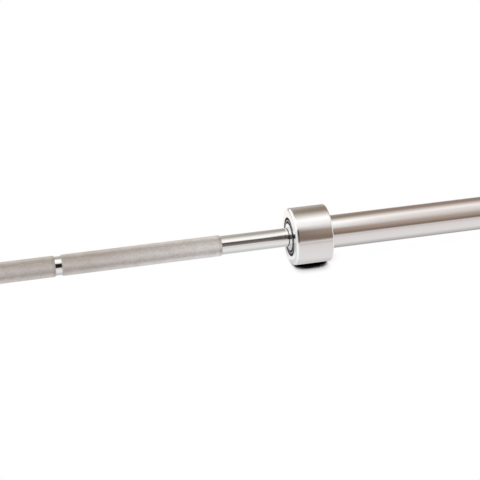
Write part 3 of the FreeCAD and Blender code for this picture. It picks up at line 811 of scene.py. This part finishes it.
# %% Choose the bands
collar_bands = (
    (2, (0.54, 0.53, 0.52)),
    (5, (0.44, 0.40, 0.37)),
    (8, (0.18, 0.135, 0.11)),
    (24, (0.24, 0.175, 0.135)),
    (32, (0.32, 0.235, 0.18)),
    (44.5, (0.34, 0.26, 0.21)),
    (53, (0.60, 0.575, 0.56)),
    (59, (0.70, 0.685, 0.675)),
    (78, (0.88, 0.88, 0.86)),
    (92, (1.10, 1.10, 1.085)),
    (100, (0.94, 0.935, 0.915)),
    (122, (0.42, 0.37, 0.315)),
    (136, (0.225, 0.178, 0.132)),
    (172, (0.28, 0.235, 0.185)),
)
shaft_bands = (
    (2, (0.70, 0.68, 0.67)),
    (8, (0.62, 0.60, 0.59)),
    (13, (0.20, 0.18, 0.17)),
    (24, (0.175, 0.155, 0.147)),
    (33, (0.105, 0.092, 0.087)),
    (51.5, (0.10, 0.088, 0.082)),
    (57, (0.66, 0.65, 0.645)),
    (64, (0.86, 0.84, 0.83)),
    (76, (0.89, 0.87, 0.855)),
    (90, (0.76, 0.74, 0.715)),
    (104, (0.55, 0.53, 0.50)),
    (120, (0.385, 0.36, 0.33)),
    (138, (0.31, 0.275, 0.24)),
    (172, (0.33, 0.295, 0.25)),
)
sleeve_bands = (
    (2, (0.55, 0.53, 0.52)),
    (6, (0.40, 0.36, 0.33)),
    (12, (0.16, 0.12, 0.097)),
    (22, (0.25, 0.187, 0.15)),
    (30, (0.325, 0.25, 0.205)),
    (44, (0.39, 0.325, 0.285)),
    (57, (0.53, 0.485, 0.455)),
    (72, (0.63, 0.59, 0.565)),
    (87, (0.71, 0.675, 0.655)),
    (98, (0.84, 0.80, 0.77)),
    (106, (0.76, 0.71, 0.675)),
    (121, (0.53, 0.465, 0.42)),
    (132, (0.37, 0.305, 0.26)),
    (143, (0.26, 0.20, 0.165)),
    (172, (0.24, 0.185, 0.15)),
)
print("bands:", len(collar_bands), len(shaft_bands), len(sleeve_bands))

# %% [markdown]
# ### Hanging the bands
# The ramps read how far round the tent a point lies, from 0 at the floor on the camera's side to 1 at the
# floor behind, as an angle that is worked out from Object coordinates. The place along the bar then
# blends from one length of cloth to the next.

# %% Hang the bands
tent_cloth = bpy.data.materials.new("tent cloth")
tent_cloth.use_nodes = True
tree = tent_cloth.node_tree
tree.nodes.remove(tree.nodes["Principled BSDF"])
apart = add(tree, "SeparateXYZ", add(tree, "TexCoord").outputs["Object"])
tent_along = apart.outputs["X"]
forward = work_out(tree, "MULTIPLY", apart.outputs["Y"], -1.0)
climb = work_out(tree, "DIVIDE", work_out(tree, "ARCTAN2", apart.outputs["Z"], forward), np.pi)


def hang(bands):
    """Colours of one length of the tent, from its bands in degrees above the floor on the camera's side."""
    return shade(tree, climb, *[(degrees / 180, colour) for degrees, colour in bands])


def climbing(low, high, start, finish):
    """A number that runs from low to high between two heights of the tent, in degrees."""
    return between(tree, climb, low, high, start / 180, finish / 180)


shaft_begins = between(tree, tent_along, 0.0, 1.0, 1.15, 1.30)
shaft_ends = between(tree, tent_along, 1.0, 0.0, 1.58, 1.60)
by_shaft = work_out(tree, "MULTIPLY", shaft_begins, shaft_ends)
by_sleeve = between(tree, tent_along, 0.0, 1.0, 1.79, 1.95)
cloth = blend(tree, by_shaft, hang(collar_bands), hang(shaft_bands))
cloth = blend(tree, by_sleeve, cloth, hang(sleeve_bands))
print("tent cloth has", len(tree.nodes), "nodes so far")

# %% [markdown]
# ### Cards and the left wall
# Black card makes dark lines in polished metal. A wide one hangs to the left on the camera's side, and a
# narrow one stands where the end of the shaft beside the bearing mirrors it. They could be sheets of
# their own, but as steps of the cloth's colour they need no mesh. Grey cloth hangs behind, and a plain
# wall closes the left end.

# %% Set the cards
black_lean = -3.2
wall_lean = -2.2
grey_cloth = (0.40, 0.385, 0.36, 1)
wall_behind = (0.74, 0.725, 0.71)
wall_in_front = (0.39, 0.355, 0.33)
camera_side = climbing(1.0, 0.0, 52, 60)
leaning = work_out(tree, "MULTIPLY_ADD", climb, wall_lean, tent_along)
grey_back = between(tree, leaning, 0.8, 0.0, -0.45, -0.20)
back_side = climbing(0.0, 1.0, 110, 135)
cloth = blend(tree, work_out(tree, "MULTIPLY", grey_back, back_side), cloth, grey_cloth)

steep = work_out(tree, "MULTIPLY_ADD", climb, black_lean, tent_along)
black_left = between(tree, steep, 0.05, 1.0, 0.35, 0.60)
cloth = blend(tree, camera_side, cloth, black_left, "MULTIPLY")

card = between(tree, tent_along, 1.0, 0.03, 1.530, 1.564)
card_edges = (
    between(tree, tent_along, 0.0, 1.0, 1.606, 1.616),
    climbing(0.55, 0.0, 16, 25),
    climbing(0.0, 1.0, 60, 67),
)
for edge in card_edges:
    card = work_out(tree, "MAXIMUM", card, edge)
cloth = times(tree, cloth, card)

left_wall = between(tree, leaning, 1.0, 0.0, -1.7, -1.2)
cloth = blend(tree, left_wall, cloth, shade(tree, camera_side, (0.0, wall_behind), (1.0, wall_in_front)))
tent_strength = 1.5
glow = add(tree, "Emission", cloth, tent_strength)
tree.links.new(glow.outputs[0], tree.nodes["Material Output"].inputs["Surface"])
tent_mesh.materials.append(tent_cloth)
print("tent cloth has", len(tree.nodes), "nodes")

# %% [markdown]
# ## Floor
# The bar stands on its collars on a wide sheet of white paper. A single face is enough, laid at the
# lowest point of the CAD box. Its material does the work in the next steps, because the camera, the
# mirroring metal and the light that bounces each need something else from it.

# %% Lay the floor
floor_half = 40.0
floor_level = cad_box[0].z
corners = [(-1, -1), (1, -1), (1, 1), (-1, 1)]
floor_mesh = bpy.data.meshes.new("studio_floor")
floor_points = [(a * floor_half, b * floor_half, floor_level) for a, b in corners]
floor_mesh.from_pydata(floor_points, [], [(0, 1, 2, 3)])
floor = bpy.data.objects.new("studio_floor", floor_mesh)
bpy.context.scene.collection.objects.link(floor)
print("floor at", round(floor_level / MM, 2), "mm")

# %% [markdown]
# ### Shadow under the collars
# On bright paper only the narrow shadow where a collar touches it stays black. Ambient Occlusion finds
# it: it is the share of open sky over a point, within a short reach. A ramp turns that share into tones,
# and the place along the bar keeps the shadow to the collars and the sleeves.

# %% Shade the contact
contact_reach = 0.022
shadow_start, shadow_full = 0.653, 0.661
shadow_tones = (
    (0.31, 0.0),
    (0.33, 0.16),
    (0.36, 0.52),
    (0.42, 0.68),
    (0.51, 0.80),
    (0.60, 0.90),
    (0.72, 1.0),
)
paper = bpy.data.materials.new("white paper")
paper.use_nodes = True
tree = paper.node_tree
tree.nodes.remove(tree.nodes["Principled BSDF"])
under = add(tree, "AmbientOcclusion", None, contact_reach, samples=16)
shadow = shade(tree, under.outputs["AO"], *[(sky, (tone, tone, tone)) for sky, tone in shadow_tones])
apart = add(tree, "SeparateXYZ", add(tree, "TexCoord").outputs["Object"])
floor_across = apart.outputs["Y"]
out = work_out(tree, "ABSOLUTE", apart.outputs["X"])
contact = blend(tree, between(tree, out, 0.0, 1.0, shadow_start, shadow_full), WHITE, shadow)
print("contact shadow reaches", contact_reach, "m")

# %% [markdown]
# ### What the metal sees of the floor
# The lower half of every barrel mirrors the paper, so the paper's tone decides how round the bar looks.
# It carries a painted shadow: dark under the bar and in a strip just behind it, and it fades towards the
# camera and far behind. By the collars and past the bar it is a little warm. Maps of numbers over the
# floor do this without another lamp.

# %% Tone the mirrored paper
# Painted shadow of the bar on the paper, seen only in the metal's reflections
under_grip, under_shaft, under_sleeve = 0.80, 0.68, 0.48
strip_tone = 0.58
by_plain = between(tree, out, under_grip, under_shaft, 0.53, 0.57)
by_collar = between(tree, out, under_shaft, under_sleeve, 0.65, 0.69)
deepest = work_out(tree, "MINIMUM", by_plain, by_collar)
nearer = work_out(tree, "MULTIPLY", floor_across, -1.0)
further = work_out(tree, "MULTIPLY", floor_across, 6.0)
away = work_out(tree, "MAXIMUM", nearer, further)
light_again = between(tree, out, 0.054, 0.042, 0.64, 0.69)
under_bar = between(tree, away, deepest, 1.0, 0.008, light_again)
in_front = between(tree, floor_across, 0.78, 1.0, -0.60, -0.06)
behind = between(tree, floor_across, 1.0, 0.42, 0.20, 0.60)
strip_starts = between(tree, floor_across, 1.0, strip_tone, 0.006, 0.028)
strip_ends = between(tree, floor_across, strip_tone, 1.0, 0.04, 0.10)
strip = work_out(tree, "MAXIMUM", strip_starts, strip_ends)
painted_floor_shade = work_out(tree, "MULTIPLY", work_out(tree, "MINIMUM", in_front, behind), under_bar)
painted_floor_shade = work_out(tree, "MULTIPLY", painted_floor_shade, strip)

towards_bar = between(tree, floor_across, 0.0, 1.0, -0.60, -0.06)
room = shade(tree, towards_bar, (0.0, (1.0, 0.905, 0.875)), (1.0, (1.0, 0.968, 0.962)))
warmth = blend(tree, between(tree, out, 0.0, 1.0, 0.64, 0.72), WHITE, room)
past_bar = between(tree, floor_across, 0.0, 1.0, 0.02, 0.07)
warmth = times(tree, warmth, shade(tree, past_bar, (0.0, (1.0, 1.0, 1.0)), (1.0, (1.0, 0.965, 0.94))))
print("white paper has", len(tree.nodes), "nodes so far")

# %% [markdown]
# ### Three faces of one paper
# Light Path tells which kind of ray meets the paper. The camera sees white with the contact shadow, the
# metal sees the toned paper through glossy rays, and bounced light meets plain matte paper. A strength of
# 1 is white, so the background is bright without any more light on the bar.

# %% Join the paper's faces
ray = add(tree, "LightPath").outputs
matte = add(tree, "BsdfDiffuse", (0.8, 0.8, 0.8, 1))
mirrored = add(tree, "Emission", warmth, painted_floor_shade)
seen = add(tree, "Emission", contact, 1.0)
glossy = work_out(tree, "MAXIMUM", ray["Is Glossy Ray"], ray["Is Transmission Ray"])
both = add(tree, "MixShader", glossy, matte.outputs[0], mirrored.outputs[0])
both = add(tree, "MixShader", ray["Is Camera Ray"], both.outputs[0], seen.outputs[0])
tree.links.new(both.outputs[0], tree.nodes["Material Output"].inputs["Surface"])
floor_mesh.materials.append(paper)
print("white paper has", len(tree.nodes), "nodes")

# %% [markdown]
# ## World
# Past the floor's edge and the tent's open ends everything is plain white. A picture of a studio could
# stand there, but a plain colour adds no reflections of its own.

# %% Set the world
world = bpy.data.worlds.new("studio")
world.use_nodes = True
bpy.context.scene.world = world
sky = world.node_tree.nodes["Background"]
sky.inputs["Color"].default_value = WHITE
sky.inputs["Strength"].default_value = 1.0
bpy.context.scene.view_settings.view_transform = "Standard"
print("world strength", sky.inputs["Strength"].default_value)
